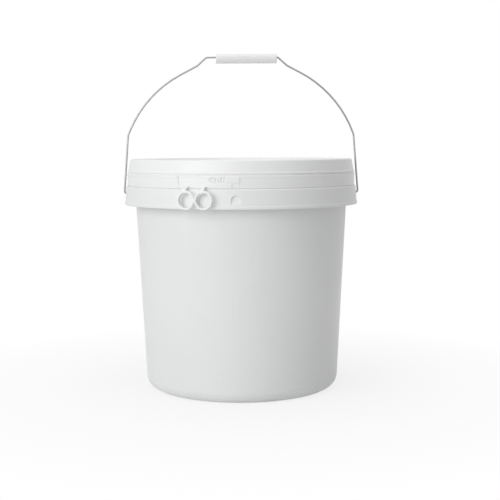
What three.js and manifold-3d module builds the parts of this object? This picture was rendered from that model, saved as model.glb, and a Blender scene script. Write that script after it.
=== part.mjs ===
// White plastic bucket with a lid, a wire bail and a roller grip.
// Millimetres, +Z up. The origin is on the bucket's axis, on the surface it stands on.
// The front is -Y, and azimuths are degrees from the front, positive towards +X.
import * as THREE from 'three';
import { mergeVertices } from 'three/addons/utils/BufferGeometryUtils.js';
import Module from 'manifold-3d';

const wasm = await Module();
wasm.setup();

// Fineness of the faceted solids
const roundSegments = 72;
const largestChordError = 0.12;
const largestArcStep = Math.PI / 4;
const shapeSegments = 12;
const smallRoundSegments = 24;
const gasketSides = 8;
const wireSides = 10;
const blockArcStep = 8;

// Bucket body
const bucketHeight = 295;
const mouthDiameter = 287.8;
const baseDiameter = 258;
const bucketWall = 2.2;
const baseThickness = 2.6;
const baseCornerRadius = 16.6;
const baseGrooveDiameter = 186;
const baseGrooveWidth = 7;
const baseGrooveDepth = 1;
const rimBeadReach = 3.6;
const rimBeadHeight = 10;
const rimEdgeRadius = 1.6;

// Collar around the bucket, with its ribs, bail ears and front pocket
const collarBelowRim = 22.4;
const collarHeight = 24.8;
const collarReach = 11.24;
const collarFlare = 2;
const collarLipHeight = 3.4;
const collarLipReach = 0.5;
const collarWall = 2.2;
const collarShelf = 2.4;
const collarShoulderRadius = 4.5;
const collarRibCount = 24;
const collarRibThickness = 1.6;
const collarRibHeight = 15;
const earDiameter = 9;
const earInset = 1;
const holeOverrun = 2;
const pocketAzimuth = -2;
const pocketBelowRim = 35.6;
const pocketWidth = 10.4;
const pocketHeight = 9.6;
const pocketDepth = 1;

// Lid
const lidWall = 2.2;
const crownRoof = 3.4;
const crownHeight = 14.6;
const crownLean = 1.9;
const crownCornerRadius = 2;
const crownInnerRadius = 2.5;
const crownOverGroove = 0.3;
const eaveReach = 0.7;
const eaveHeight = 0.7;
const lidRimClearance = 2.7;
const plugClearance = 0.6;
const panelBelowRim = 3.6;
const panelThickness = 2.4;
const panelCornerRadius = 2;
const panelStepDiameter = 206;
const panelStepHeight = 1.4;
const stackingRingWidth = 2.4;
const stackingRingHeight = 2.5;
const stackingClearance = 1.6;
const skirtBelowRim = 21.3;
const snapBeadHeight = 4;
const snapClearance = 0.5;
const snapBelowRimBead = 1.6;
const grooveDepth = 1.3;
const grooveHeight = 2;
const bandBeadReach = 0.5;
const bandBeadHeight = 1.6;

// Tear strip on the lid's skirt: its cut, its ledge, a sunk arrow and raised marks
const stripStartAzimuth = -30;
const stripEndAzimuth = -0.2;
const stripCutWidth = 1.1;
const stripCutDepth = 0.8;
const stripCutRise = 3.9;
const ledgeHeight = 6;
const ledgeReach = 0.8;
const ledgeRise = 0.6;
const markReach = 0.6;
const markHeight = 6;
const markAboveLedge = 0.6;
const arrowTipAzimuth = -14.8;
const arrowLength = 6.4;
const arrowDepth = 0.6;
const markRibCount = 4;
const markRibWidth = 1.5;
const markRibPitch = 3.6;
const markGap = 1.1;

// Pair of pull rings that hangs from the tear strip
const ringPairAzimuth = -20.1;
const ringDiameter = 23.6;
const ringBand = 2.4;
const ringDepth = 6.4;
const ringOverlap = 1;
const ringFacetTurn = 0.07;
const ringCollarGap = 1.6;
const ringHang = 2.8;
const neckWidth = 4.6;
const neckOffset = 1.8;
const neckInset = 0.7;
const neckRootReach = 1;
const neckRootDrop = 1;
const neckRootRise = 0.5;

// Gasket in the lid's channel
const gasketThickness = 6;
const seatGap = 0.3;

// Wire bail
const wireDiameter = 2.5;
const wireHoleClearance = 0.45;
const bailPivotBelowRim = 33;
const bailSideGap = 2.1;
const bailHookLength = 11;
const bailHookRadius = 3;
const bailRise = 181;
const bailBendHeight = 78;
const bailBendInset = 6.1;
const bailBendRadius = 14;
const bailShoulderHeight = 133.8;
const bailShoulderInset = 29.1;
const bailShoulderRadius = 150;
const bailKinkDrop = 11;
const bailKinkReach = 12.3;
const bailKinkRadius = 5;
const bailSideways = 2.2;

// Grip that rolls on the bail's straight top
const gripLength = 81.4;
const gripDiameter = 12.5;
const gripBoreDiameter = 7;
const gripPlay = 7;
const gripSlide = 5.7;
const gripEndRadius = 0.6;

// Sizes that follow from the ones above
const mouthRadius = mouthDiameter / 2;
const baseRadius = baseDiameter / 2;
const rimRadius = mouthRadius + rimBeadReach;
const collarTop = bucketHeight - collarBelowRim;
const collarBottom = collarTop - collarHeight;
const collarTopRadius = wallRadius(collarTop) + collarReach;
const collarBottomRadius = collarTopRadius + collarFlare;
const collarLipRadius = collarBottomRadius + collarLipReach;
const pivotHeight = bucketHeight - bailPivotBelowRim;
const pivotHalfWidth = collarRadius(pivotHeight) + bailSideGap + wireDiameter / 2;
const skirtBottom = bucketHeight - skirtBelowRim;
const skirtRadius = rimRadius + lidRimClearance + lidWall;
const channelRoof = bucketHeight + gasketThickness + 2 * seatGap;
const crownTop = channelRoof + crownRoof;
const crownBottom = crownTop - crownHeight;
const grooveRadius = skirtRadius - grooveDepth;
const crownRadius = grooveRadius + crownOverGroove;
const bandTop = crownBottom - grooveHeight;
const plugRadius = mouthRadius - bucketWall - plugClearance;
const panelTop = bucketHeight - panelBelowRim;
const ledgeTop = skirtBottom + ledgeHeight;
const markBottom = ledgeTop + markAboveLedge;
const ringBackRadius = collarLipRadius + ringCollarGap;
const ringMiddleRadius = ringBackRadius + ringDepth / 2;
const ringHeight = skirtBottom - ringHang - ringDiameter / 2;

// Outer radius of the tapered bucket wall at a height
function wallRadius(height) {
  return THREE.MathUtils.lerp(baseRadius, mouthRadius, height / bucketHeight);
}

// Outer radius of the flared collar at a height
function collarRadius(height) {
  return THREE.MathUtils.mapLinear(height, collarBottom, collarTop, collarBottomRadius, collarTopRadius);
}

// Polyline through [x, y, radius] corners, with an arc in place of each corner that has a radius
function roundedOutline(corners) {
  const points = [];
  corners.forEach(([x, y, radius = 0], index) => {
    const corner = new THREE.Vector2(x, y);
    if (radius === 0) {
      points.push(corner);
      return;
    }
    const toBefore = new THREE.Vector2(...corners[index - 1]).sub(corner).normalize();
    const toAfter = new THREE.Vector2(...corners[index + 1]).sub(corner).normalize();
    const halfAngle = toBefore.angleTo(toAfter) / 2;
    const centre = toBefore.clone().add(toAfter).setLength(radius / Math.sin(halfAngle)).add(corner);
    const start = toBefore.clone().multiplyScalar(radius / Math.tan(halfAngle)).add(corner);
    const turn = Math.PI - 2 * halfAngle;
    const side = Math.sign(toAfter.cross(toBefore));
    const errorStep = 2 * Math.acos(1 - largestChordError / (radius + largestChordError));
    const step = Math.min(largestArcStep, errorStep);
    const stepCount = Math.ceil(turn / step);
    for (let count = 0; count <= stepCount; count += 1) {
      points.push(start.clone().rotateAround(centre, (side * turn * count) / stepCount));
    }
  });
  return points;
}

// Solid from a closed geometry, with its faces turned outwards
function solidFrom(geometry) {
  const bare = geometry.clone();
  bare.deleteAttribute('normal');
  bare.deleteAttribute('uv');
  const merged = mergeVertices(bare);
  const corners = merged.index.array;
  const positions = merged.attributes.position;
  const triangles = [];
  let volume = 0;
  for (let first = 0; first < corners.length; first += 3) {
    const [a, b, c] = corners.slice(first, first + 3);
    if (a === b || b === c || c === a) continue;
    const [p, q, r] = [a, b, c].map((corner) => new THREE.Vector3().fromBufferAttribute(positions, corner));
    volume += p.dot(q.cross(r));
    triangles.push([a, b, c]);
  }
  const outward = volume > 0 ? triangles : triangles.map(([a, b, c]) => [a, c, b]);
  return new wasm.Manifold(new wasm.Mesh({
    numProp: 3,
    vertProperties: new Float32Array(positions.array),
    triVerts: new Uint32Array(outward.flat()),
  }));
}

// Geometry for a scene mesh from a solid
function geometryFrom(solid) {
  const mesh = solid.getMesh();
  const geometry = new THREE.BufferGeometry();
  geometry.setAttribute('position', new THREE.BufferAttribute(mesh.vertProperties, 3));
  geometry.setIndex(new THREE.BufferAttribute(mesh.triVerts, 1));
  geometry.computeVertexNormals();
  return geometry;
}

// Solid turned about the Z axis from a profile of [radius, height] points, with a flat facet at the front
function revolved(profile) {
  const firstEdge = Math.PI / roundSegments;
  return solidFrom(new THREE.LatheGeometry(profile, roundSegments, firstEdge).rotateX(Math.PI / 2));
}

// Straight extrusion of a shape from its XY plane up to a depth along Z
function extruded(shape, depth, curveSegments = shapeSegments) {
  return new THREE.ExtrudeGeometry(shape, { depth, bevelEnabled: false, curveSegments });
}

// Point on the bucket at an azimuth, a radius and a height
function pointAt(azimuth, radius, height) {
  const angle = THREE.MathUtils.degToRad(azimuth);
  return new THREE.Vector3(radius * Math.sin(angle), -radius * Math.cos(angle), height);
}

// Solid drawn facing outwards: its X runs along the wall to the right, its Y up, its Z out
function facingOut(geometry, azimuth, radius, height) {
  const out = pointAt(azimuth, 1, 0);
  const along = pointAt(azimuth + 90, 1, 0);
  const place = new THREE.Matrix4().makeBasis(along, new THREE.Vector3(0, 0, 1), out);
  place.setPosition(pointAt(azimuth, radius, height));
  return solidFrom(geometry.clone().applyMatrix4(place));
}

// Solid drawn in section: its X is the distance from the axis, its Y up, its width along the wall
function inSection(corners, width, azimuth, offset = 0) {
  const out = pointAt(azimuth, 1, 0);
  const along = pointAt(azimuth + 90, 1, 0);
  const place = new THREE.Matrix4().makeBasis(out, new THREE.Vector3(0, 0, 1), along.clone().negate());
  place.setPosition(along.multiplyScalar(offset + width / 2));
  const shape = new THREE.Shape(corners.map(([x, y]) => new THREE.Vector2(x, y)));
  return solidFrom(extruded(shape, width).applyMatrix4(place));
}

// Curved block that follows the wall between two azimuths
function wallBlock(startAzimuth, endAzimuth, bottom, top, innerRadius, outerRadius) {
  const arcSegments = Math.ceil((endAzimuth - startAzimuth) / blockArcStep);
  const start = THREE.MathUtils.degToRad(startAzimuth - 90);
  const end = THREE.MathUtils.degToRad(endAzimuth - 90);
  const shape = new THREE.Shape();
  shape.absarc(0, 0, outerRadius, start, end, false);
  shape.absarc(0, 0, innerRadius, end, start, true);
  return solidFrom(extruded(shape, top - bottom, arcSegments).translate(0, 0, bottom));
}

// Angle in degrees that a length along the wall takes at a radius
function azimuthSpan(length, radius) {
  return THREE.MathUtils.radToDeg(length / radius);
}

// Wall, base and rim bead of the bucket, with the collar's shelf and skirt
function bucketShell() {
  const collarBottomInner = collarBottomRadius - collarWall;
  const shelfBottom = collarTop - collarShelf;
  const shelfBottomInner = collarRadius(shelfBottom) - collarWall;
  const shoulderInnerRadius = collarShoulderRadius - collarWall;
  const lipTop = collarBottom + collarLipHeight;
  const faceBottom = lipTop + collarLipReach;
  const rimBeadBottom = bucketHeight - rimBeadHeight;
  const wallAngle = Math.atan((mouthRadius - baseRadius) / bucketHeight);
  const innerCornerRadius = baseCornerRadius - bucketWall;
  const wallInset = bucketWall / Math.cos(wallAngle);
  const grooveOuter = (baseGrooveDiameter + baseGrooveWidth) / 2;
  const grooveInner = (baseGrooveDiameter - baseGrooveWidth) / 2;
  return revolved(roundedOutline([
    [0, 0],
    [grooveInner, 0],
    [grooveInner + baseGrooveDepth, baseGrooveDepth],
    [grooveOuter - baseGrooveDepth, baseGrooveDepth],
    [grooveOuter, 0],
    [wallRadius(0), 0, baseCornerRadius],
    [wallRadius(shelfBottom), shelfBottom],
    [shelfBottomInner, shelfBottom, shoulderInnerRadius],
    [collarBottomInner, collarBottom],
    [collarLipRadius, collarBottom],
    [collarLipRadius, lipTop],
    [collarRadius(faceBottom), faceBottom],
    [collarTopRadius, collarTop, collarShoulderRadius],
    [wallRadius(collarTop), collarTop],
    [wallRadius(rimBeadBottom), rimBeadBottom],
    [rimRadius, rimBeadBottom],
    [rimRadius, bucketHeight, rimEdgeRadius],
    [mouthRadius - wallInset, bucketHeight],
    [wallRadius(baseThickness) - wallInset, baseThickness, innerCornerRadius],
    [0, baseThickness],
  ]));
}

// Rib between the bucket wall and the inside of the collar
function collarRib(azimuth) {
  const top = collarTop - collarShelf / 2;
  const bottom = collarTop - collarShelf - collarRibHeight;
  const shoulderBottom = collarTop - collarShoulderRadius;
  const inset = bucketWall / 2;
  return inSection([
    [wallRadius(bottom) - inset, bottom],
    [collarRadius(bottom) - inset, bottom],
    [collarRadius(shoulderBottom) - inset, shoulderBottom],
    [collarTopRadius - collarShoulderRadius, top],
    [wallRadius(top) - inset, top],
  ], collarRibThickness, azimuth);
}

// Cylinder that lies along X, from one distance to another on the side given by 1 or -1
function sideCylinder(side, from, to, diameter) {
  const cylinder = new THREE.CylinderGeometry(diameter / 2, diameter / 2, to - from, smallRoundSegments);
  return solidFrom(cylinder.rotateZ(Math.PI / 2).translate((side * (from + to)) / 2, 0, pivotHeight));
}

// Front pocket's cutter: flat at the bottom and round at the top
function pocketCutter() {
  const halfWidth = pocketWidth / 2;
  const shape = new THREE.Shape();
  shape.moveTo(-halfWidth, -pocketHeight / 2);
  shape.lineTo(halfWidth, -pocketHeight / 2);
  shape.lineTo(halfWidth, pocketHeight / 2 - halfWidth);
  shape.absarc(0, pocketHeight / 2 - halfWidth, halfWidth, 0, Math.PI, false);
  const height = bucketHeight - pocketBelowRim;
  const surface = Math.sqrt(collarRadius(height) ** 2 - halfWidth ** 2);
  return facingOut(extruded(shape, collarReach), pocketAzimuth, surface - pocketDepth, height);
}

// Bucket: one moulding
function bucket() {
  let solid = bucketShell();
  for (let rib = 0; rib < collarRibCount; rib += 1) {
    solid = solid.add(collarRib(((rib + 0.5) * 360) / collarRibCount));
  }
  const holeDiameter = wireDiameter + 2 * wireHoleClearance;
  const hookEnd = pivotHalfWidth - bailHookLength;
  const holeEnd = hookEnd - wireHoleClearance;
  const earRoot = wallRadius(pivotHeight) - bucketWall / 2;
  const earFace = collarRadius(pivotHeight);
  for (const side of [1, -1]) {
    solid = solid.add(sideCylinder(side, earRoot, earFace - earInset, earDiameter));
    solid = solid.subtract(sideCylinder(side, holeEnd, earFace + holeOverrun, holeDiameter));
  }
  return solid.subtract(pocketCutter());
}

// Lid's panel, plug wall, crown, groove and skirt
function lidShell() {
  const plugInner = plugRadius - lidWall;
  const stackingInner = nextBucketRadius() + stackingClearance;
  const stackingOuter = stackingInner + stackingRingWidth;
  const panelStep = panelStepDiameter / 2;
  const crownInner = crownRadius - lidWall;
  const skirtInner = skirtRadius - lidWall;
  const snapRadius = rimRadius + snapClearance;
  const snapReach = skirtInner - snapRadius;
  const snapTop = bucketHeight - rimBeadHeight - snapBelowRimBead;
  const snapBottom = snapTop - snapBeadHeight;
  const beadRadius = skirtRadius + bandBeadReach;
  const beadBottom = bandTop - bandBeadHeight;
  const eaveRadius = crownRadius + eaveReach;
  const eaveBottom = crownBottom + eaveReach;
  const eaveTop = eaveBottom + eaveHeight;
  return revolved(roundedOutline([
    [0, panelTop + panelStepHeight],
    [panelStep - panelStepHeight, panelTop + panelStepHeight],
    [panelStep, panelTop],
    [stackingInner, panelTop],
    [stackingInner, panelTop + stackingRingHeight],
    [stackingOuter, panelTop + stackingRingHeight],
    [stackingOuter, panelTop],
    [plugInner, panelTop, panelCornerRadius],
    [plugInner, crownTop, crownInnerRadius],
    [crownRadius - crownLean, crownTop, crownCornerRadius],
    [crownRadius, eaveTop + eaveReach],
    [eaveRadius, eaveTop],
    [eaveRadius, eaveBottom],
    [grooveRadius, crownBottom - crownOverGroove],
    [grooveRadius, bandTop + bandBeadReach],
    [beadRadius, bandTop],
    [beadRadius, beadBottom],
    [skirtRadius, beadBottom - bandBeadReach],
    [skirtRadius, skirtBottom],
    [skirtInner, skirtBottom],
    [skirtInner, snapBottom - snapReach],
    [snapRadius, snapBottom],
    [snapRadius, snapTop],
    [skirtInner, snapTop + snapReach],
    [skirtInner, bandTop - lidWall],
    [crownInner, crownBottom - lidWall],
    [crownInner, channelRoof],
    [plugRadius, channelRoof],
    [plugRadius, panelTop - panelThickness],
    [0, panelTop - panelThickness],
  ]));
}

// Outer radius, at the stacking ring's height, of a like bucket that stands on the lid
function nextBucketRadius() {
  const footRadius = wallRadius(0) - baseCornerRadius;
  const rise = baseCornerRadius - stackingRingHeight;
  return footRadius + Math.sqrt(baseCornerRadius ** 2 - rise ** 2);
}

// Cutter for the sunk arrow on the upper half of the tear strip, which points to the strip's start
function arrowCutter() {
  const shape = new THREE.Shape();
  shape.moveTo(0, 0);
  shape.lineTo(arrowLength, -markHeight / 2);
  shape.lineTo(arrowLength, markHeight / 2);
  const floor = skirtRadius - arrowDepth;
  return facingOut(extruded(shape, 2 * arrowDepth), arrowTipAzimuth, floor, markBottom + markHeight / 2);
}

// Raised ribs and bar behind the arrow
function stripMarks() {
  const inner = skirtRadius - lidWall / 2;
  const outer = skirtRadius + markReach;
  const marks = [];
  let start = arrowTipAzimuth + azimuthSpan(arrowLength + markGap, skirtRadius);
  for (let rib = 0; rib < markRibCount; rib += 1) {
    const end = start + azimuthSpan(markRibWidth, skirtRadius);
    marks.push(wallBlock(start, end, markBottom, markBottom + markHeight, inner, outer));
    start += azimuthSpan(markRibPitch, skirtRadius);
  }
  marks.push(wallBlock(start, stripEndAzimuth, markBottom, markBottom + markHeight, inner, outer));
  return marks;
}

// Pull ring and the neck that joins it to the tear strip
function pullRing(azimuth) {
  const outline = new THREE.Shape();
  outline.absarc(0, 0, ringDiameter / 2, ringFacetTurn, ringFacetTurn + 2 * Math.PI, false);
  const hole = new THREE.Path();
  hole.absarc(0, 0, ringDiameter / 2 - ringBand, ringFacetTurn, ringFacetTurn + 2 * Math.PI, true);
  outline.holes.push(hole);
  const ring = facingOut(extruded(outline, ringDepth), azimuth, ringBackRadius, ringHeight);
  const ringTop = ringHeight + ringDiameter / 2;
  const rootTop = ledgeTop - neckRootDrop;
  const neck = inSection([
    [skirtRadius - lidWall / 2, rootTop],
    [skirtRadius - lidWall / 2, skirtBottom + neckRootRise],
    [ringBackRadius + neckInset, ringTop - ringBand / 2],
    [ringBackRadius + ringDepth - neckInset, ringTop - ringBand / 2],
    [ringBackRadius + ringDepth - neckInset, ringTop],
    [skirtRadius + ledgeReach + neckRootReach, rootTop],
  ], neckWidth, azimuth, -neckOffset);
  return ring.add(neck);
}

// Lid: one moulding, with its tear strip and pull rings
function lid() {
  const ledgeBottom = skirtBottom + ledgeRise;
  const ledgeInner = skirtRadius - lidWall / 2;
  const ledgeOuter = skirtRadius + ledgeReach;
  const ledge = wallBlock(stripStartAzimuth, stripEndAzimuth, ledgeBottom, ledgeTop, ledgeInner, ledgeOuter);
  let solid = lidShell().add(ledge).subtract(arrowCutter());
  for (const mark of stripMarks()) {
    solid = solid.add(mark);
  }
  const halfPair = THREE.MathUtils.radToDeg(Math.asin((ringDiameter - ringOverlap) / 2 / ringMiddleRadius));
  for (const side of [-1, 1]) {
    solid = solid.add(pullRing(ringPairAzimuth + side * halfPair));
  }
  const cutDepth = stripCutDepth + ledgeReach + bandBeadReach;
  const cutBottom = skirtBottom + stripCutRise;
  const cut = new THREE.BoxGeometry(stripCutWidth, bandTop - cutBottom, 2 * cutDepth);
  const cutRadius = skirtRadius - stripCutDepth + cutDepth;
  return solid.subtract(facingOut(cut, stripStartAzimuth, cutRadius, (bandTop + cutBottom) / 2));
}

// Gasket: a round ring that lies on the bucket's rim, under the roof of the lid's channel
function gasket() {
  const radius = gasketThickness / 2;
  const seatRadius = rimRadius - (rimBeadReach + bucketWall) / 2;
  const profile = [];
  for (let side = 0; side <= gasketSides; side += 1) {
    const angle = ((side % gasketSides) * 2 * Math.PI) / gasketSides;
    const across = seatRadius + radius * Math.cos(angle);
    profile.push(new THREE.Vector2(across, bucketHeight + seatGap + radius + radius * Math.sin(angle)));
  }
  return revolved(profile);
}

// Wire's centre line as given points in the XZ plane, taken one step at a time by an extrusion
class WirePath extends THREE.Curve {
  constructor(points) {
    super();
    this.points = points;
  }

  getUtoTmapping(share) {
    return share;
  }

  getPoint(share) {
    const place = THREE.MathUtils.clamp(share, 0, 1) * (this.points.length - 1);
    const index = Math.min(Math.floor(place), this.points.length - 2);
    const [x, z] = this.points[index].clone().lerp(this.points[index + 1], place - index).toArray();
    return new THREE.Vector3(x, 0, z);
  }
}

// One side of the bail's centre line, from its hooked end to its straight top
function bailSide(side) {
  const straightHalf = gripLength / 2 + gripPlay;
  const top = pivotHeight + bailRise;
  const shoulder = side * (pivotHalfWidth - bailShoulderInset) + bailSideways;
  return [
    [side * (pivotHalfWidth - bailHookLength), pivotHeight],
    [side * pivotHalfWidth, pivotHeight, bailHookRadius],
    [side * (pivotHalfWidth - bailBendInset), pivotHeight + bailBendHeight, bailBendRadius],
    [shoulder, pivotHeight + bailShoulderHeight, bailShoulderRadius],
    [side * (straightHalf + bailKinkReach) + bailSideways, top - bailKinkDrop, bailKinkRadius],
    [side * straightHalf + bailSideways, top, bailKinkRadius],
  ];
}

// Bail: one bent wire
function bail() {
  const points = roundedOutline([...bailSide(-1), ...bailSide(1).reverse()]);
  const section = new THREE.Shape();
  section.absarc(0, 0, wireDiameter / 2, 0, 2 * Math.PI, false);
  const wire = new THREE.ExtrudeGeometry(section, {
    steps: points.length - 1,
    extrudePath: new WirePath(points),
    curveSegments: wireSides / 2,
  });
  return solidFrom(wire);
}

// Grip: a tube that hangs on the wire by the top of its bore
function grip() {
  const boreRadius = gripBoreDiameter / 2;
  const outerRadius = gripDiameter / 2;
  const half = gripLength / 2;
  const axisHeight = pivotHeight + bailRise - (boreRadius - wireDiameter / 2 - seatGap);
  const profile = roundedOutline([
    [boreRadius, -half],
    [outerRadius, -half, gripEndRadius],
    [outerRadius, half, gripEndRadius],
    [boreRadius, half],
    [boreRadius, -half],
  ]);
  const tube = new THREE.LatheGeometry(profile, smallRoundSegments).rotateZ(Math.PI / 2);
  return solidFrom(tube.translate(bailSideways + gripSlide, 0, axisHeight));
}

// Named mesh with its own material
function part(name, solid, color, roughness, metalness) {
  const material = new THREE.MeshStandardMaterial({ color, roughness, metalness });
  const mesh = new THREE.Mesh(geometryFrom(solid), material);
  mesh.name = name;
  return mesh;
}

const bucketWithLid = new THREE.Group();
bucketWithLid.add(
  part('bucket', bucket(), '#e6e7e8', 0.42, 0),
  part('lid', lid(), '#ebecec', 0.4, 0),
  part('lid_gasket', gasket(), '#d8d8d4', 0.8, 0),
  part('bail', bail(), '#a9abae', 0.3, 1),
  part('grip', grip(), '#f0f0f0', 0.38, 0),
);

export default bucketWithLid;
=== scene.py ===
# White plastic bucket with a press-on lid, a wire bail and a roller grip, dressed for rendering.
# Shapes are made in millimetres, in the frame of the solids, and become metres at the end.
# The front is -Y, and azimuths are degrees from the front, positive towards +X.
# A profile's corner is its distance from the axis, its height and, where it has one, its rounding.
import math

import bpy
import numpy as np
from mathutils import Matrix, Vector


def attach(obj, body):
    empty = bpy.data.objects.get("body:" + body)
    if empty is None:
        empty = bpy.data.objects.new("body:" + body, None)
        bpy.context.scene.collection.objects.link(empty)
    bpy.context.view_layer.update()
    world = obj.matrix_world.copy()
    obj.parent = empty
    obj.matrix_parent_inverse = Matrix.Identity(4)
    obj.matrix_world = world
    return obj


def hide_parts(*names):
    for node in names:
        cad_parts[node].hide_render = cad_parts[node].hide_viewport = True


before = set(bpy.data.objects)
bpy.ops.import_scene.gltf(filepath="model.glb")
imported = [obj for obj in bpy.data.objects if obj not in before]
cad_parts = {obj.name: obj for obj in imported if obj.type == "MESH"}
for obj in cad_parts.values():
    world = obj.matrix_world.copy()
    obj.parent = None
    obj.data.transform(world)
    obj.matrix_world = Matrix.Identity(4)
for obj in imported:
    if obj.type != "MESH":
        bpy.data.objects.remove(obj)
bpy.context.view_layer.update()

MM = 0.001

# Roundings that several edges share
HAIR_EDGE = 0.25
THIN_EDGE = 0.3
SLIGHT_EDGE = 0.4
FINE_EDGE = 0.5
RAISED_EDGE = 0.6
ROUND_EDGE = 0.8
WIDE_EDGE = 1

# Bucket
BUCKET_HEIGHT = 295
MOUTH_RADIUS = 143.9
BASE_RADIUS = 129
BUCKET_WALL = 2.2
BASE_THICKNESS = 2.6
BASE_CORNER = 16.6
BASE_GROOVE_INNER = 89.5
BASE_GROOVE_OUTER = 96.5
BASE_GROOVE_DEPTH = 1
RIM_RADIUS = 147.5
RIM_BOTTOM = 285
RIM_LOWER_EDGE = 1.2
RIM_UPPER_EDGE = 1.6

# Collar with its lower lip and the ribs behind it
COLLAR_TOP = 273.2
COLLAR_BOTTOM = 247.8
COLLAR_SHELF = 2.4
COLLAR_WALL = 2.2
COLLAR_TOP_RADIUS = 154.01
COLLAR_BOTTOM_RADIUS = 156.01
COLLAR_SHOULDER = 3.2
LIP_RADIUS = 156.34
LIP_TOP = 251.2
LIP_SLOPE_HEIGHT = 0.6
LIP_EDGE = 0.7
COLLAR_RIB_COUNT = 24
COLLAR_RIB_THICKNESS = 1.6
COLLAR_RIB_HEIGHT = 15

# Ears with the holes for the wire's ends
EAR_RADIUS = 4.5
EAR_FACE_INSET = 1
HOLE_RADIUS = 1.7
HOLE_CLEARANCE = 0.45
CUTTER_OVERSHOOT = 3
PIVOT_HEIGHT = 262
HOOK_END = 147.2

# Pocket in the collar and the bump below it
POCKET_AZIMUTH = -2
POCKET_HALF_WIDTH = 5.2
POCKET_BOTTOM = 254.6
POCKET_TOP = 264.4
POCKET_DEPTH = 1.9
POCKET_SLOPE = 1.3
POCKET_SHALLOW_SHARE = 0.55
BUMP_SIDEWAYS = -0.6
BUMP_HEIGHT = 249.9
BUMP_RADIUS = 1.3
BUMP_SLOPE = 0.8
BUMP_REACH = 0.3

# Lid
LID_WALL = 2.2
CROWN_TOP = 308
CROWN_BOTTOM = 290.4
CROWN_RADIUS = 151.4
CROWN_LEAN = 3
CROWN_INNER_LEAN = 1.2
CROWN_CORNER = 2.8
CROWN_INNER_CORNER = 5.5
CROWN_FOOT = 293.4
CROWN_FOOT_INSET = 0.1
CHANNEL_ROOF = 301.6
PLUG_RADIUS = 141.1
PANEL_TOP = 291.4
PANEL_THICKNESS = 2.4
PANEL_CORNER = 2
PANEL_STEP_RADIUS = 103
PANEL_STEP = 1.4
STACKING_INNER = 122.8
STACKING_OUTER = 125.2
STACKING_HEIGHT = 2.5
EAVE_RADIUS = 152.35
EAVE_TOP = 291.9
EAVE_BOTTOM = 291.2
GROOVE_RADIUS = 151.1
GROOVE_BOTTOM = 289.8
BEAD_RADIUS = 152.7
BEAD_TOP = 288.1
BEAD_BOTTOM = 286.8
BAND_TOP = 288.4
SKIRT_RADIUS = 152.4
SKIRT_TOP = 286.3
SKIRT_BOTTOM = 273.1
SKIRT_BOTTOM_SLOPE = 0.5
SNAP_RADIUS = 148
SNAP_TOP = 283.4
SNAP_BOTTOM = 279.4

# Tear strip on the skirt
STRIP_START = -30
STRIP_END = -0.2
SOFT_EDGE = 0.3
CUT_WIDTH = 1.1
CUT_DEPTH = 1.3
CUT_BOTTOM = 277.6
LEDGE_TOP = 279.4
LEDGE_BOTTOM = 274.3
LEDGE_REACH = 0.45
MARK_BOTTOM = 281.1
MARK_TOP = 286.7
MARK_REACH = 1.3
MARK_SLOPE = 0.8
ARROW_TIP = -14.8
ARROW_LENGTH = 6
ARROW_DEPTH = 1.9
ARROW_HALF_HEIGHT = 3.7
STRIP_RIB_COUNT = 4
STRIP_RIB_START = -11.98
STRIP_RIB_WIDTH = 1.5
STRIP_RIB_PITCH = 3.6
TAB_START = -3.75
TAB_END_GAP = 0.9
TAB_BOTTOM = 274.7
TAB_TOP = 278.9
TAB_DEPTH = 0.9

# Faint dots on the strip's tab, each with its azimuth, height, radius and depth
DOTS = ((-2.8, 276.6, 0.9, 0.35), (-1.2, 276, 0.8, 0.21))

# Pull rings
RING_AZIMUTHS = (-24.12, -15.9)
RING_RADIUS = 11.8
RING_BAND = 2.8
RING_DEPTH = 6.4
RING_BACK = 158.1
RING_HEIGHT = 259.1
RING_VOXEL = 0.42
NECK_OFFSETS = (-3.0, -1.9)
NECK_WIDTH = 4.8
NECK_ROOT = 276
NECK_ROOT_HEIGHT = 2
NECK_ROOT_SINK = 0.6
NECK_ROOT_SWELL = 1.8
NECK_BEND_REACH = 2.6
NECK_BEND_DROP = 2.4
NECK_END_INSET = 0.7
NECK_TOE_INSET = 1.2

# Gasket
GASKET_RADIUS = 2.95
GASKET_SEAT = 144.6
GASKET_HEIGHT = 298.3

# Wire, from its hooked ends over the knees and the arch to the kinks at the grip
WIRE_RADIUS = 1.25
WIRE_TOP = 443
WIRE_SIDEWAYS = 2.2
WIRE_BEND = 5
PIVOT_HALF_WIDTH = 157.95
HOOK_BEND = 3
KNEE_INSET = 6.1
KNEE_RISE = 78
KNEE_BEND = 14
ARCH_INSET = 29
ARCH_RISE = 133.8
ARCH_BEND = 150
KINK_REACH = 12.3
KINK_DROP = 11
STRAIGHT_HALF = 47.7

# Grip
GRIP_LENGTH = 81.4
GRIP_RADIUS = 6.25
GRIP_EDGE = 0.9
GRIP_BORE = 3.5
GRIP_CENTRE = 7.9
GRIP_HEIGHT = 441.05

# Fineness of the meshes, in degrees and millimetres. Fine columns have a start, an end and a step.
ARC_STEP = 12
COARSE_COLUMN = 1.5
POCKET_COLUMNS = (-5, 1, 0.15)
POCKET_ROW = 0.4
STRIP_COLUMNS = (-31, 0.5, 0.125)
STRIP_ROW = 0.35
FACE_TOLERANCE = 0.1
HOLE_STEP = 10
RING_STEP = 5
RING_ARC_STEP = 20
GASKET_STEP = 2
GASKET_SECTION_STEP = 20
GRIP_STEP = 5
GRIP_ARC_STEP = 15
GRIP_ROW = 3
WIRE_SIDES = 20
WIRE_ARC_STEP = 5
WIRE_ROW = 6
SHARP_ANGLE = 38
WIRE_SHARP_ANGLE = 60

# Sockets of a colour mix: its factor, its two colours and its result
MIX_FACTOR = 0
MIX_FIRST = 6
MIX_SECOND = 7
MIX_RESULT = 2

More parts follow.
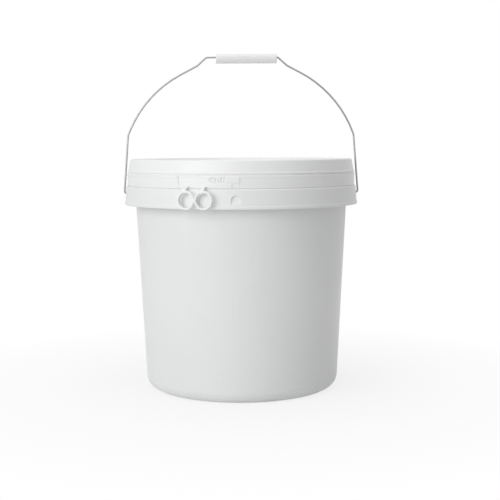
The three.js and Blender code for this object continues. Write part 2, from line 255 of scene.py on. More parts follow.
# Colours
BUCKET_WHITE = (0.86, 0.865, 0.87)
LID_WHITE = (0.9, 0.905, 0.905)
GRIP_WHITE = (0.86, 0.86, 0.865)
RUBBER_WHITE = (0.7, 0.7, 0.68)
WIRE_GREY = (0.37, 0.38, 0.39)

# Surfaces of the plastics, with heights in metres
BUCKET_ROUGHNESS = 0.38
LID_ROUGHNESS = 0.36
GRIP_ROUGHNESS = 0.42
SCUFF_HEIGHT = 0.03
RIPPLE = 0.0008
GRAIN = 0.0001
GRIP_RIPPLE = 0.0002
GRIP_GRAIN = 0.00001

# Studio, in metres
FLOOR_HALF = 6
FLOOR_TONE = 0.86
SHADOW_RADIUS = 0.14
WHITE_RADIUS = 0.5
WHITE_SHARE_IN_SHADOW = 0.8
WORLD_STRENGTH = 0.335
LAMP_TARGET = (0, 0, 0.16)
LAMP_SIZE = 1.6

# Camera, from a fit to the photograph's outline: metres, radians and millimetres
CAMERA_PLACE = (0.0116, -1.4403, 0.323)
CAMERA_PITCH = 0.0963
CAMERA_ROLL = -0.005
CAMERA_LENS = 76.5
SENSOR_WIDTH = 36


def wall_radius(height):
    """Outer radius of the bucket's tapered wall at a height."""
    return BASE_RADIUS + (MOUTH_RADIUS - BASE_RADIUS) * height / BUCKET_HEIGHT


def collar_radius(height):
    """Outer radius of the collar at a height."""
    share = (height - COLLAR_BOTTOM) / (COLLAR_TOP - COLLAR_BOTTOM)
    return COLLAR_BOTTOM_RADIUS + (COLLAR_TOP_RADIUS - COLLAR_BOTTOM_RADIUS) * share


def rounded(corners, arc_step=ARC_STEP):
    """Polyline through (x, y, radius) corners, with an arc in place of each corner that has a radius."""
    points = []
    for index, corner in enumerate(corners):
        here = Vector(corner[:2])
        radius = corner[2] if len(corner) > 2 else 0
        if radius == 0:
            points.append(tuple(here))
            continue
        before = (Vector(corners[index - 1][:2]) - here).normalized()
        after = (Vector(corners[(index + 1) % len(corners)][:2]) - here).normalized()
        half = before.angle(after) / 2
        centre = here + (before + after).normalized() * (radius / math.sin(half))
        arm = here + before * (radius / math.tan(half)) - centre
        turn = math.pi - 2 * half
        side = 1 if after.cross(before) > 0 else -1
        count = max(2, math.ceil(math.degrees(turn) / arc_step))
        for step in range(count + 1):
            points.append(tuple(centre + Matrix.Rotation(side * turn * step / count, 2) @ arm))
    return points


def refined(points, longest, inside=lambda x, y: True):
    """Adds points to the segments whose two ends pass a test, so that none is longer than a length."""
    result = [points[0]]
    for start, end in zip(points, points[1:]):
        if inside(*start) and inside(*end):
            count = math.ceil(math.dist(start, end) / longest)
            for step in range(1, count):
                share = step / count
                x = start[0] + (end[0] - start[0]) * share
                y = start[1] + (end[1] - start[1]) * share
                result.append((x, y))
        result.append(end)
    return result


def even_columns(step):
    """Azimuths round the whole turn, evenly spread."""
    return np.arange(0, 360, step)


def azimuth_columns(fine_start, fine_end, fine_step):
    """Azimuths round the whole turn, closer together between two of them."""
    fine = np.arange(fine_start, fine_end + fine_step / 2, fine_step)
    span = 360 - (fine[-1] - fine[0])
    count = math.ceil(span / COARSE_COLUMN)
    coarse = fine[-1] + span * np.arange(1, count) / count
    return np.concatenate([fine, coarse])


def on_wall(azimuth, radius, height):
    """Point at an azimuth, a distance from the axis and a height."""
    angle = math.radians(azimuth)
    return Vector((radius * math.sin(angle), -radius * math.cos(angle), height))


def turned(profile, azimuths, relief=None):
    """Shape turned about Z from (radius, height) points. A closed profile has no point on the axis."""
    rows = np.array(profile, dtype=float)
    on_axis = rows[:, 0] == 0
    closed = not on_axis.any()
    columns = len(azimuths)
    angles = np.radians(azimuths)
    points = []
    row_starts = []
    for (radius, height), pole in zip(rows, on_axis):
        row_starts.append(len(points))
        if pole:
            points.append((0, 0, height))
            continue
        radii = np.full(columns, radius)
        if relief is not None:
            radii = radii + relief(azimuths, radius, height)
        x = radii * np.sin(angles)
        y = -radii * np.cos(angles)
        points.extend(zip(x.tolist(), y.tolist(), [float(height)] * columns))
    pairs = list(zip(range(len(rows) - 1), range(1, len(rows))))
    if closed:
        pairs.append((len(rows) - 1, 0))
    faces = []
    for low, high in pairs:
        faces.extend(faces_between(low, high, row_starts, on_axis, columns))
    return points, faces


def faces_between(low, high, row_starts, on_axis, columns):
    """Faces between two rows of points. A row on the axis has one point for all its columns."""
    faces = []
    for column in range(columns):
        after = (column + 1) % columns
        face = []
        for row, place in ((low, column), (low, after), (high, after), (high, column)):
            corner = row_starts[row] + (0 if on_axis[row] else place)
            if corner not in face:
                face.append(corner)
        faces.append(tuple(face))
    return faces


def prism(outline, width):
    """Shape with an (x, y) outline and a width along Z, centred on it."""
    count = len(outline)
    points = [(x, y, -width / 2) for x, y in outline] + [(x, y, width / 2) for x, y in outline]
    faces = [tuple(reversed(range(count))), tuple(range(count, 2 * count))]
    for index in range(count):
        after = (index + 1) % count
        faces.append((index, after, count + after, count + index))
    return points, faces


def moved(shape, matrix):
    """Shape with its points moved by a placement."""
    points, faces = shape
    return [tuple(matrix @ Vector(point)) for point in points], faces


def facing_out(azimuth, radius, height):
    """Placement for a shape whose X runs along the wall to the right, Y up and Z out."""
    out = on_wall(azimuth, 1, 0)
    along = on_wall(azimuth + 90, 1, 0)
    basis = Matrix((along, Vector((0, 0, 1)), out)).transposed().to_4x4()
    basis.translation = on_wall(azimuth, radius, height)
    return basis


def in_section(azimuth, offset=0):
    """Placement for a shape whose X is the distance from the axis, Y up and Z along the wall to the left."""
    out = on_wall(azimuth, 1, 0)
    along = on_wall(azimuth + 90, 1, 0)
    basis = Matrix((out, Vector((0, 0, 1)), -along)).transposed().to_4x4()
    basis.translation = along * offset
    return basis


def sideways(side):
    """Placement that lays a shape's Z along X at the pivot's height."""
    return Matrix.Translation((0, 0, PIVOT_HEIGHT)) @ Matrix.Rotation(side * math.pi / 2, 4, "Y")


def joined(shapes):
    """One shape from several."""
    points = []
    faces = []
    for shape_points, shape_faces in shapes:
        first = len(points)
        points.extend(shape_points)
        faces.extend(tuple(corner + first for corner in face) for face in shape_faces)
    return points, faces


def made(name, shape):
    """Object in metres from a shape in millimetres, with its faces turned outwards."""
    points, faces = shape
    mesh = bpy.data.meshes.new(name)
    mesh.from_pydata([(x * MM, y * MM, z * MM) for x, y, z in points], [], faces)
    mesh.validate()
    item = bpy.data.objects.new(name, mesh)
    bpy.context.scene.collection.objects.link(item)
    turn_outwards(item)
    return item


def turn_outwards(item):
    bpy.context.view_layer.objects.active = item
    bpy.ops.object.mode_set(mode="EDIT")
    bpy.ops.mesh.select_all(action="SELECT")
    bpy.ops.mesh.normals_make_consistent(inside=False)
    bpy.ops.object.mode_set(mode="OBJECT")


def with_modifiers(item):
    """Replaces an object's mesh by what its modifiers make of it."""
    graph = bpy.context.evaluated_depsgraph_get()
    result = bpy.data.meshes.new_from_object(item.evaluated_get(graph))
    item.modifiers.clear()
    item.data = result


def shape_of(item):
    """Shape in millimetres of an object, which is then deleted."""
    points = [tuple(vertex.co / MM) for vertex in item.data.vertices]
    faces = [tuple(polygon.vertices) for polygon in item.data.polygons]
    bpy.data.objects.remove(item)
    return points, faces


def step_up(distance, soft=SOFT_EDGE):
    """0 well below a distance of zero and 1 well above it, with a soft step between."""
    share = np.clip(distance / soft + 0.5, 0, 1)
    return share * share * (3 - 2 * share)


def plateau(value, low, high):
    """1 between two values and 0 outside them, with soft steps centred on both."""
    return step_up(value - low) * step_up(high - value)


def along_skirt(azimuth):
    """Length of the skirt's arc from the front to an azimuth."""
    return np.radians(azimuth) * SKIRT_RADIUS


def dot(along, height, centre_azimuth, centre_height, radius):
    """Soft-edged disc on the skirt."""
    distance = np.hypot(along - along_skirt(centre_azimuth), height - centre_height)
    return step_up(radius - distance)


def ribs_and_bar(along, height):
    """Raised ribs right of the arrow, and the bar that goes on from them to the strip's end."""
    marks = np.zeros_like(along)
    start = along_skirt(STRIP_RIB_START)
    for _ in range(STRIP_RIB_COUNT):
        marks = marks + step_up(along - start, MARK_SLOPE) * step_up(start + STRIP_RIB_WIDTH - along)
        start += STRIP_RIB_PITCH
    marks = marks + plateau(along, start, along_skirt(STRIP_END))
    return marks * plateau(height, MARK_BOTTOM, MARK_TOP)


def sunk_arrow(along, height):
    """Arrowhead that points left and is deepest at its right end."""
    middle = (MARK_BOTTOM + MARK_TOP) / 2
    from_tip = along - along_skirt(ARROW_TIP)
    from_side = from_tip * ARROW_HALF_HEIGHT / ARROW_LENGTH - abs(height - middle)
    sloping_floor = np.clip(from_tip / ARROW_LENGTH, 0, 1)
    return sloping_floor * step_up(from_side) * step_up(ARROW_LENGTH - from_tip, MARK_SLOPE)


def upright_cut(along, height):
    """Slot at the strip's left end."""
    centre = along_skirt(STRIP_START)
    return plateau(along, centre - CUT_WIDTH / 2, centre + CUT_WIDTH / 2) * step_up(height - CUT_BOTTOM)


def strip_relief(azimuths, radius, height):
    """How far the tear strip's ledge, cut, arrow, ribs, bar and tab stand out of the skirt."""
    on_inside = radius < (GROOVE_RADIUS + SNAP_RADIUS) / 2
    if on_inside or not SKIRT_BOTTOM < height < BAND_TOP + SOFT_EDGE:
        return 0
    along = along_skirt(azimuths)
    start = along_skirt(STRIP_START)
    end = along_skirt(STRIP_END)
    ledge = plateau(along, start, end) * plateau(height, LEDGE_BOTTOM, LEDGE_TOP)
    tab = plateau(along, along_skirt(TAB_START), end - TAB_END_GAP) * plateau(height, TAB_BOTTOM, TAB_TOP)
    dots = sum(depth * dot(along, height, *place) for *place, depth in DOTS)
    marks = ribs_and_bar(along, height)
    arrow = sunk_arrow(along, height)
    cut = upright_cut(along, height)
    raised = LEDGE_REACH * ledge - TAB_DEPTH * tab - dots + MARK_REACH * marks - ARROW_DEPTH * arrow
    return raised * (1 - cut) - CUT_DEPTH * cut


def on_collar_face(radius, height):
    return radius > collar_radius(height) - COLLAR_WALL / 2


def collar_relief(azimuths, radius, height):
    """The pocket sunk in the collar, with its round top, and the small bump below it."""
    if not COLLAR_BOTTOM < height < COLLAR_TOP or not on_collar_face(radius, height):
        return 0
    along = np.radians(azimuths - POCKET_AZIMUTH) * COLLAR_TOP_RADIUS
    arch = POCKET_TOP - POCKET_HALF_WIDTH
    side_slope = np.where(along > 0, POCKET_SLOPE, SOFT_EDGE)
    if height > arch:
        inside = step_up(POCKET_HALF_WIDTH - np.hypot(along, height - arch), side_slope)
    else:
        inside = step_up(POCKET_HALF_WIDTH - abs(along), side_slope)
        inside = inside * step_up(height - POCKET_BOTTOM, POCKET_SLOPE)
    rise = (height - POCKET_BOTTOM) / (POCKET_TOP - POCKET_BOTTOM)
    deepening = POCKET_SHALLOW_SHARE + (1 - POCKET_SHALLOW_SHARE) * rise
    from_bump = np.hypot(along - BUMP_SIDEWAYS, height - BUMP_HEIGHT)
    bump = step_up(BUMP_RADIUS - from_bump, BUMP_SLOPE)
    return BUMP_REACH * bump - POCKET_DEPTH * deepening * inside


def bucket_profile():
    """Outline of the bucket's section, from the underside over the collar and the rim to the inside."""
    wall_inset = BUCKET_WALL / math.cos(math.atan((MOUTH_RADIUS - BASE_RADIUS) / BUCKET_HEIGHT))
    shelf_bottom = COLLAR_TOP - COLLAR_SHELF
    lip_root = LIP_TOP + LIP_SLOPE_HEIGHT
    return rounded([
        (0, 0),
        (BASE_GROOVE_INNER, 0, FINE_EDGE),
        (BASE_GROOVE_INNER + BASE_GROOVE_DEPTH, BASE_GROOVE_DEPTH, FINE_EDGE),
        (BASE_GROOVE_OUTER - BASE_GROOVE_DEPTH, BASE_GROOVE_DEPTH, FINE_EDGE),
        (BASE_GROOVE_OUTER, 0, FINE_EDGE),
        (BASE_RADIUS, 0, BASE_CORNER),
        (wall_radius(shelf_bottom), shelf_bottom, WIDE_EDGE),
        (collar_radius(shelf_bottom) - COLLAR_WALL, shelf_bottom, COLLAR_SHOULDER - COLLAR_WALL),
        (COLLAR_BOTTOM_RADIUS - COLLAR_WALL, COLLAR_BOTTOM, FINE_EDGE),
        (LIP_RADIUS, COLLAR_BOTTOM, LIP_EDGE),
        (LIP_RADIUS, LIP_TOP, FINE_EDGE),
        (collar_radius(lip_root), lip_root, RAISED_EDGE),
        (COLLAR_TOP_RADIUS, COLLAR_TOP, COLLAR_SHOULDER),
        (wall_radius(COLLAR_TOP), COLLAR_TOP, WIDE_EDGE),
        (wall_radius(RIM_BOTTOM), RIM_BOTTOM, ROUND_EDGE),
        (RIM_RADIUS, RIM_BOTTOM, RIM_LOWER_EDGE),
        (RIM_RADIUS, BUCKET_HEIGHT, RIM_UPPER_EDGE),
        (MOUTH_RADIUS - wall_inset, BUCKET_HEIGHT, ROUND_EDGE),
        (wall_radius(BASE_THICKNESS) - wall_inset, BASE_THICKNESS, BASE_CORNER - BUCKET_WALL),
        (0, BASE_THICKNESS),
    ])


def collar_ribs():
    """Ribs between the wall and the inside of the collar."""
    top = COLLAR_TOP - COLLAR_SHELF / 2
    bottom = COLLAR_TOP - COLLAR_SHELF - COLLAR_RIB_HEIGHT
    shoulder = COLLAR_TOP - COLLAR_SHOULDER
    inset = BUCKET_WALL / 2
    outline = rounded([
        (wall_radius(bottom) - inset, bottom),
        (collar_radius(bottom) - inset, bottom),
        (collar_radius(shoulder) - inset, shoulder),
        (COLLAR_TOP_RADIUS - COLLAR_SHOULDER, top),
        (wall_radius(top) - inset, top),
    ])
    rib = prism(outline, COLLAR_RIB_THICKNESS)
    pitch = 360 / COLLAR_RIB_COUNT
    return [moved(rib, in_section((index + 0.5) * pitch)) for index in range(COLLAR_RIB_COUNT)]


def ears():
    """Round bosses behind the collar, with the blind holes that hold the wire's ends."""
    root = wall_radius(PIVOT_HEIGHT) - BUCKET_WALL / 2
    face = collar_radius(PIVOT_HEIGHT) - EAR_FACE_INSET
    hole_floor = HOOK_END - HOLE_CLEARANCE
    profile = rounded([
        (0, root),
        (EAR_RADIUS, root),
        (EAR_RADIUS, face),
        (HOLE_RADIUS, face),
        (HOLE_RADIUS, hole_floor),
        (0, hole_floor),
    ])
    boss = turned(profile, even_columns(HOLE_STEP))
    return [moved(boss, sideways(side)) for side in (1, -1)]


def hole_cutter():
    """Two rods that open the collar over the ears' holes."""
    inner = HOOK_END
    outer = LIP_RADIUS + CUTTER_OVERSHOOT
    profile = [(0, inner), (HOLE_RADIUS, inner), (HOLE_RADIUS, outer), (0, outer)]
    rod = turned(profile, even_columns(HOLE_STEP))
    return made("hole_cutter", joined([moved(rod, sideways(side)) for side in (1, -1)]))


def build_bucket():
    def near_pocket(radius, height):
        on_flat = COLLAR_BOTTOM < height < COLLAR_TOP - COLLAR_SHOULDER / 2
        return on_flat and on_collar_face(radius, height)

    profile = refined(bucket_profile(), POCKET_ROW, near_pocket)
    shell = made("bucket_shell", turned(profile, azimuth_columns(*POCKET_COLUMNS), collar_relief))
    cutter = hole_cutter()
    cut = shell.modifiers.new("holes", "BOOLEAN")
    cut.object = cutter
    cut.operation = "DIFFERENCE"
    cut.solver = "EXACT"
    with_modifiers(shell)
    bpy.data.objects.remove(cutter)
    return made("bucket_shell", joined([shape_of(shell), *collar_ribs(), *ears()]))


def lid_profile():
    """Outline of the lid's section, from the panel over the crown and the skirt to the underside."""
    plug_inner = PLUG_RADIUS - LID_WALL
    skirt_inner = SKIRT_RADIUS - LID_WALL
    crown_inner = CROWN_RADIUS - LID_WALL
    snap_reach = skirt_inner - SNAP_RADIUS
    step_top = PANEL_TOP + PANEL_STEP
    stacking_top = PANEL_TOP + STACKING_HEIGHT
    panel_bottom = PANEL_TOP - PANEL_THICKNESS
    return rounded([
        (0, step_top),
        (PANEL_STEP_RADIUS - PANEL_STEP, step_top, WIDE_EDGE),
        (PANEL_STEP_RADIUS, PANEL_TOP, WIDE_EDGE),
        (STACKING_INNER, PANEL_TOP, FINE_EDGE),
        (STACKING_INNER, stacking_top, RAISED_EDGE),
        (STACKING_OUTER, stacking_top, RAISED_EDGE),
        (STACKING_OUTER, PANEL_TOP, FINE_EDGE),
        (plug_inner, PANEL_TOP, PANEL_CORNER),
        (plug_inner, CROWN_TOP, CROWN_INNER_CORNER),
        (CROWN_RADIUS - CROWN_LEAN, CROWN_TOP, CROWN_CORNER),
        (CROWN_RADIUS - CROWN_FOOT_INSET, CROWN_FOOT, ROUND_EDGE),
        (EAVE_RADIUS, EAVE_TOP, HAIR_EDGE),
        (EAVE_RADIUS, EAVE_BOTTOM, HAIR_EDGE),
        (GROOVE_RADIUS, CROWN_BOTTOM, SLIGHT_EDGE),
        (GROOVE_RADIUS, GROOVE_BOTTOM, THIN_EDGE),
        (BEAD_RADIUS, BEAD_TOP, HAIR_EDGE),
        (BEAD_RADIUS, BEAD_BOTTOM, SLIGHT_EDGE),
        (SKIRT_RADIUS, SKIRT_TOP, FINE_EDGE),
        (SKIRT_RADIUS, SKIRT_BOTTOM, THIN_EDGE),
        (skirt_inner, SKIRT_BOTTOM + SKIRT_BOTTOM_SLOPE, THIN_EDGE),
        (skirt_inner, SNAP_BOTTOM - snap_reach, FINE_EDGE),
        (SNAP_RADIUS, SNAP_BOTTOM, FINE_EDGE),
        (SNAP_RADIUS, SNAP_TOP, FINE_EDGE),
        (skirt_inner, SNAP_TOP + snap_reach, FINE_EDGE),
        (skirt_inner, BAND_TOP - LID_WALL, FINE_EDGE),
        (crown_inner, CROWN_BOTTOM - LID_WALL, FINE_EDGE),
        (crown_inner - CROWN_INNER_LEAN, CHANNEL_ROOF, ROUND_EDGE),
        (PLUG_RADIUS, CHANNEL_ROOF, ROUND_EDGE),
        (PLUG_RADIUS, panel_bottom, WIDE_EDGE),
        (0, panel_bottom),
    ])


def pull_ring():
    """Ring round Z, with its back at zero."""
    inner = RING_RADIUS - RING_BAND
    section = rounded([
        (RING_RADIUS, 0, ROUND_EDGE),
        (RING_RADIUS, RING_DEPTH, ROUND_EDGE),
        (inner, RING_DEPTH, ROUND_EDGE),
        (inner, 0, ROUND_EDGE),
    ], RING_ARC_STEP)
    return turned(section, even_columns(RING_STEP))


def ring_neck():
    """Strap from the skirt to the top of a ring, which grows deeper on its way down."""
    root_back = SKIRT_RADIUS - NECK_ROOT_SINK
    ring_front = RING_BACK + RING_DEPTH
    ring_top = RING_HEIGHT + RING_RADIUS
    return prism([
        (root_back, NECK_ROOT),
        (root_back, NECK_ROOT - NECK_ROOT_HEIGHT),
        (RING_BACK + NECK_END_INSET, ring_top - RING_BAND / 2),
        (RING_BACK + NECK_TOE_INSET, ring_top - RING_BAND),
        (ring_front - NECK_TOE_INSET, ring_top - RING_BAND),
        (ring_front - NECK_END_INSET, ring_top),
        (RING_BACK + NECK_BEND_REACH, NECK_ROOT - NECK_BEND_DROP),
        (SKIRT_RADIUS + NECK_ROOT_SWELL, NECK_ROOT),
    ], NECK_WIDTH)


def pull_rings():
    """Both rings and their necks as one soft-edged moulding."""
    ring = pull_ring()
    neck = ring_neck()
    parts = []
    for azimuth, offset in zip(RING_AZIMUTHS, NECK_OFFSETS):
        parts.append(moved(ring, facing_out(azimuth, RING_BACK, RING_HEIGHT)))
        parts.append(moved(neck, in_section(azimuth, offset)))
    moulding = made("pull_rings", joined(parts))
    remesh = moulding.modifiers.new("one_skin", "REMESH")
    remesh.mode = "VOXEL"
    remesh.voxel_size = RING_VOXEL * MM
    soften = moulding.modifiers.new("soften", "SMOOTH")
    soften.factor = 0.5
    soften.iterations = 4
    with_modifiers(moulding)
    return shape_of(moulding)


def build_lid():
    def near_strip(radius, height):
        return radius > SKIRT_RADIUS - FACE_TOLERANCE and SKIRT_BOTTOM < height < BAND_TOP

    profile = refined(lid_profile(), STRIP_ROW, near_strip)
    shell = turned(profile, azimuth_columns(*STRIP_COLUMNS), strip_relief)
    return made("lid_shell", joined([shell, pull_rings()]))


def build_gasket():
    profile = []
    for angle in np.radians(even_columns(GASKET_SECTION_STEP)):
        radius = GASKET_SEAT + GASKET_RADIUS * math.cos(angle)
        height = GASKET_HEIGHT + GASKET_RADIUS * math.sin(angle)
        profile.append((radius, height))
    return made("gasket_ring", turned(profile, even_columns(GASKET_STEP)))


def wire_side(side):
    """One side of the wire's centre line, from its hooked end to its straight top."""
    return [
        (side * HOOK_END, PIVOT_HEIGHT),
        (side * PIVOT_HALF_WIDTH, PIVOT_HEIGHT, HOOK_BEND),
        (side * (PIVOT_HALF_WIDTH - KNEE_INSET), PIVOT_HEIGHT + KNEE_RISE, KNEE_BEND),
        (side * (PIVOT_HALF_WIDTH - ARCH_INSET) + WIRE_SIDEWAYS, PIVOT_HEIGHT + ARCH_RISE, ARCH_BEND),
        (side * (STRAIGHT_HALF + KINK_REACH) + WIRE_SIDEWAYS, WIRE_TOP - KINK_DROP, WIRE_BEND),
        (side * STRAIGHT_HALF + WIRE_SIDEWAYS, WIRE_TOP, WIRE_BEND),
    ]


def build_bail():
    """Round wire swept along its centre line, which lies in the plane of X and Z."""
    corners = [*wire_side(-1), *reversed(wire_side(1))]
    path = np.array(refined(rounded(corners, WIRE_ARC_STEP), WIRE_ROW))
    ahead = np.gradient(path, axis=0)
    ahead /= np.linalg.norm(ahead, axis=1)[:, None]
    points = []
    for (x, z), (ahead_x, ahead_z) in zip(path, ahead):
        for side in range(WIRE_SIDES):
            angle = 2 * math.pi * side / WIRE_SIDES
            across = WIRE_RADIUS * math.cos(angle)
            points.append((x - ahead_z * across, WIRE_RADIUS * math.sin(angle), z + ahead_x * across))
    faces = [tuple(range(WIRE_SIDES)), tuple(range(len(points) - WIRE_SIDES, len(points)))]
    for ring in range(len(path) - 1):
        for side in range(WIRE_SIDES):
            after = (side + 1) % WIRE_SIDES
            low = ring * WIRE_SIDES
            high = low + WIRE_SIDES
            faces.append((low + side, low + after, high + after, high + side))
    return made("bail_wire", (points, faces))


def build_grip():
    half = GRIP_LENGTH / 2
    corners = [
        (GRIP_BORE, -half, SLIGHT_EDGE),
        (GRIP_RADIUS, -half, GRIP_EDGE),
        (GRIP_RADIUS, half, GRIP_EDGE),
        (GRIP_BORE, half, SLIGHT_EDGE),
    ]
    profile = refined(rounded(corners, GRIP_ARC_STEP), GRIP_ROW)
    tube = turned(profile, even_columns(GRIP_STEP))
    lay_down = Matrix.Translation((GRIP_CENTRE, 0, GRIP_HEIGHT)) @ Matrix.Rotation(math.pi / 2, 4, "Y")
    return made("grip_tube", moved(tube, lay_down))


def feed(tree, socket, value):
    """Links another socket to this one, or sets it to a constant."""
    if isinstance(value, bpy.types.NodeSocket):
        tree.links.new(value, socket)
    else:
        socket.default_value = value


def add_node(tree, kind, settings=None, **sockets):
    """Shader node with its settings, and with values or links on its named inputs."""
    item = tree.nodes.new("ShaderNode" + kind)
    for key, value in (settings or {}).items():
        setattr(item, key, value)
    for key, value in sockets.items():
        feed(tree, item.inputs[key.replace("_", " ")], value)
    return item


def new_material(name):
    """Material with its node tree, its surface node and a socket with the place in metres."""
    material = bpy.data.materials.new(name)
    material.use_nodes = True
    tree = material.node_tree
    place = add_node(tree, "TexCoord").outputs["Object"]
    return material, tree, tree.nodes["Principled BSDF"], place


def noise(tree, place, scale, detail, stretch=(1, 1, 1)):
    """Noise pattern from 0 to 1, stretched along the axes."""
    mapping = add_node(tree, "Mapping", Vector=place, Scale=stretch)
    pattern = add_node(tree, "TexNoise", Vector=mapping.outputs["Vector"], Scale=scale, Detail=detail)
    return pattern.outputs["Fac"]


def ranged(tree, value, low, high, to_low=0, to_high=1):
    """Value carried over from one range to another."""
    item = add_node(tree, "MapRange", Value=value, From_Min=low, From_Max=high, To_Min=to_low, To_Max=to_high)
    return item.outputs["Result"]


def calculated(tree, operation, first, second):
    item = add_node(tree, "Math", {"operation": operation})
    for socket, value in zip(item.inputs, (first, second)):
        feed(tree, socket, value)
    return item.outputs["Value"]


def times(tree, first, second):
    return calculated(tree, "MULTIPLY", first, second)


def plus(tree, first, second):
    return calculated(tree, "ADD", first, second)


def set_colour(tree, surface, colour, darkness, share):
    """Surface colour that goes over to a darker shade of its own as the share goes from 0 to 1."""
    darker = tuple(channel * darkness for channel in colour)
    mix = add_node(tree, "Mix", {"data_type": "RGBA"})
    feed(tree, mix.inputs[MIX_FACTOR], share)
    feed(tree, mix.inputs[MIX_FIRST], (*colour, 1))
    feed(tree, mix.inputs[MIX_SECOND], (*darker, 1))
    tree.links.new(mix.outputs[MIX_RESULT], surface.inputs["Base Color"])


def moulded_plastic(name, colour, roughness, scuff_height=0, ripple_reach=RIPPLE, grain_reach=GRAIN):
    """Satin moulded plastic: faint clouding, flow ripple, fine grain, and scuffs, with more near the foot."""
    material, tree, surface, place = new_material(name)
    cloud = noise(tree, place, scale=11, detail=4)
    ripple = noise(tree, place, scale=26, detail=2)
    grain = noise(tree, place, scale=1100, detail=2)
    streaks = noise(tree, place, scale=60, detail=5, stretch=(6, 6, 0.35))
    scuffs = ranged(tree, streaks, 0.6, 0.78)
    if scuff_height:
        height = add_node(tree, "SeparateXYZ", Vector=place).outputs["Z"]
        near_foot = ranged(tree, height, 0, scuff_height, 1, 0)
        patches = ranged(tree, noise(tree, place, scale=90, detail=4), 0.45, 0.7)
        scuffs = plus(tree, scuffs, times(tree, near_foot, patches))
    shade = times(tree, ranged(tree, cloud, 0.35, 0.65), 0.25)
    shade = plus(tree, shade, times(tree, scuffs, 0.35))
    set_colour(tree, surface, colour, darkness=0.93, share=shade)
    rough = ranged(tree, cloud, 0.3, 0.7, roughness - 0.05, roughness + 0.05)
    rough = plus(tree, rough, times(tree, scuffs, 0.1))
    tree.links.new(rough, surface.inputs["Roughness"])
    waves = add_node(tree, "Bump", Strength=0.35, Distance=ripple_reach, Height=ripple).outputs["Normal"]
    fine = add_node(tree, "Bump", Strength=0.06, Distance=grain_reach, Height=grain, Normal=waves)
    tree.links.new(fine.outputs["Normal"], surface.inputs["Normal"])
    surface.inputs["IOR"].default_value = 1.5
    return material


def pale_rubber(name, colour):
    """Matt rubber with a cloudy tone and a fine grain."""
    material, tree, surface, place = new_material(name)
    cloud = noise(tree, place, scale=40, detail=4)
    grain = noise(tree, place, scale=900, detail=3)
    set_colour(tree, surface, colour, darkness=0.85, share=cloud)
    tree.links.new(ranged(tree, cloud, 0.3, 0.7, 0.7, 0.85), surface.inputs["Roughness"])
    fine = add_node(tree, "Bump", Strength=0.3, Distance=0.0002, Height=grain)
    tree.links.new(fine.outputs["Normal"], surface.inputs["Normal"])
    return material


def plated_wire(name, colour):
    """Zinc-plated drawn wire: fine drawing lines, a cloudy plating and dull worn spots."""
    material, tree, surface, place = new_material(name)
    cloud = noise(tree, place, scale=120, detail=4)
    lines = noise(tree, place, scale=900, detail=3, stretch=(0.25, 4, 0.25))
    spots = ranged(tree, noise(tree, place, scale=260, detail=3), 0.6, 0.75)
    dullness = plus(tree, times(tree, cloud, 0.4), times(tree, spots, 0.2))
    set_colour(tree, surface, colour, darkness=0.72, share=dullness)
    rough = plus(tree, ranged(tree, cloud, 0.3, 0.7, 0.24, 0.36), times(tree, spots, 0.12))
    tree.links.new(rough, surface.inputs["Roughness"])
    fine = add_node(tree, "Bump", Strength=0.1, Distance=0.00004, Height=lines)
    tree.links.new(fine.outputs["Normal"], surface.inputs["Normal"])
    surface.inputs["Metallic"].default_value = 1
    return material


def finish(item, material, body, node, sharp_angle=SHARP_ANGLE):
    """Gives a piece its shading and material, says what it rides on, and hides the solid it stands for."""
    item.data.shade_smooth()
    item.data.set_sharp_from_angle(angle=math.radians(sharp_angle))
    item.data.materials.append(material)
    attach(item, body)
    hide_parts(node)


def seen_rays(tree):
    """1 for rays from the camera, a glossy surface or a clear one, and 0 for the rest."""
    path = add_node(tree, "LightPath").outputs
    seen = calculated(tree, "MAXIMUM", path["Is Camera Ray"], path["Is Glossy Ray"])
    return calculated(tree, "MAXIMUM", seen, path["Is Transmission Ray"])


def floor_material():
    """Pale and shaded near the bucket, and white away from it where it is seen."""
    material = bpy.data.materials.new("floor")
    material.use_nodes = True
    tree = material.node_tree
    tree.nodes.clear()
    place = add_node(tree, "TexCoord").outputs["Object"]
    distance = add_node(tree, "VectorMath", {"operation": "LENGTH"}, Vector=place).outputs["Value"]
    whiteness = ranged(tree, distance, SHADOW_RADIUS, WHITE_RADIUS, WHITE_SHARE_IN_SHADOW, 1)
    share = times(tree, whiteness, seen_rays(tree))
    pale = add_node(tree, "BsdfDiffuse", Color=(FLOOR_TONE, FLOOR_TONE, FLOOR_TONE, 1))
    white = add_node(tree, "Emission", Color=(1, 1, 1, 1), Strength=1)
    mix = add_node(tree, "MixShader", Fac=share)
    tree.links.new(pale.outputs[0], mix.inputs[1])
    tree.links.new(white.outputs[0], mix.inputs[2])
    add_node(tree, "OutputMaterial", Surface=mix.outputs[0])
    return material


def build_floor():
    corners = [(x * FLOOR_HALF, y * FLOOR_HALF, 0) for x, y in ((-1, -1), (1, -1), (1, 1), (-1, 1))]
    mesh = bpy.data.meshes.new("floor")
    mesh.from_pydata(corners, [], [(0, 1, 2, 3)])
    mesh.materials.append(floor_material())
    floor = bpy.data.objects.new("floor", mesh)
    bpy.context.scene.collection.objects.link(floor)


def build_world(strength):
    """White surroundings where they are seen, and softer ones where they only light."""
    world = bpy.data.worlds.new("studio")
    world.use_nodes = True
    tree = world.node_tree
    background = tree.nodes["Background"]
    background.inputs["Color"].default_value = (1, 1, 1, 1)
    level = ranged(tree, seen_rays(tree), 0, 1, strength, 1)
    tree.links.new(level, background.inputs["Strength"])
    bpy.context.scene.world = world


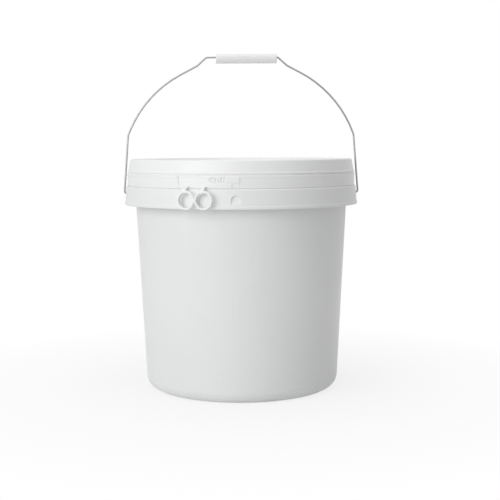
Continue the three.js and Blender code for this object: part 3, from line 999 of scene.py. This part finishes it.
def build_lamp(name, azimuth, elevation, distance, energy):
    """Soft square lamp that shines at the bucket's middle."""
    lamp = bpy.data.lights.new(name, "AREA")
    lamp.size = LAMP_SIZE
    lamp.energy = energy
    item = bpy.data.objects.new(name, lamp)
    lean = math.radians(elevation)
    away = on_wall(azimuth, math.cos(lean), math.sin(lean))
    item.location = Vector(LAMP_TARGET) + away * distance
    item.rotation_euler = away.to_track_quat("Z", "Y").to_euler()
    bpy.context.scene.collection.objects.link(item)


def build_camera():
    """Camera that looks towards the back, pitched down and slightly rolled."""
    camera = bpy.data.cameras.new("camera")
    camera.sensor_fit = "HORIZONTAL"
    camera.sensor_width = SENSOR_WIDTH
    camera.lens = CAMERA_LENS
    item = bpy.data.objects.new("camera", camera)
    ahead = Vector((0, math.cos(CAMERA_PITCH), -math.sin(CAMERA_PITCH)))
    level_up = Vector((0, math.sin(CAMERA_PITCH), math.cos(CAMERA_PITCH)))
    level_right = Vector((1, 0, 0))
    right = math.cos(CAMERA_ROLL) * level_right + math.sin(CAMERA_ROLL) * level_up
    up = -math.sin(CAMERA_ROLL) * level_right + math.cos(CAMERA_ROLL) * level_up
    turn = Matrix((right, up, -ahead)).transposed().to_4x4()
    turn.translation = CAMERA_PLACE
    item.matrix_world = turn
    bpy.context.scene.collection.objects.link(item)
    bpy.context.scene.camera = item


def build_studio():
    build_floor()
    build_world(WORLD_STRENGTH)
    build_lamp("key", azimuth=-37, elevation=20, distance=2.1, energy=19.8)
    build_lamp("top", azimuth=0, elevation=88, distance=1.8, energy=12)
    build_camera()
    bpy.context.scene.view_settings.view_transform = "Standard"


bucket_plastic = moulded_plastic("bucket_plastic", BUCKET_WHITE, BUCKET_ROUGHNESS, SCUFF_HEIGHT)
lid_plastic = moulded_plastic("lid_plastic", LID_WHITE, LID_ROUGHNESS)
grip_plastic = moulded_plastic("grip_plastic", GRIP_WHITE, GRIP_ROUGHNESS, 0, GRIP_RIPPLE, GRIP_GRAIN)
gasket_rubber = pale_rubber("gasket_rubber", RUBBER_WHITE)
bail_wire = plated_wire("bail_wire", WIRE_GREY)
finish(build_bucket(), bucket_plastic, body="bucket", node="bucket")
finish(build_lid(), lid_plastic, body="lid", node="lid")
finish(build_gasket(), gasket_rubber, body="lid", node="lid_gasket")
finish(build_bail(), bail_wire, body="bail", node="bail", sharp_angle=WIRE_SHARP_ANGLE)
finish(build_grip(), grip_plastic, body="grip", node="grip")
build_studio()
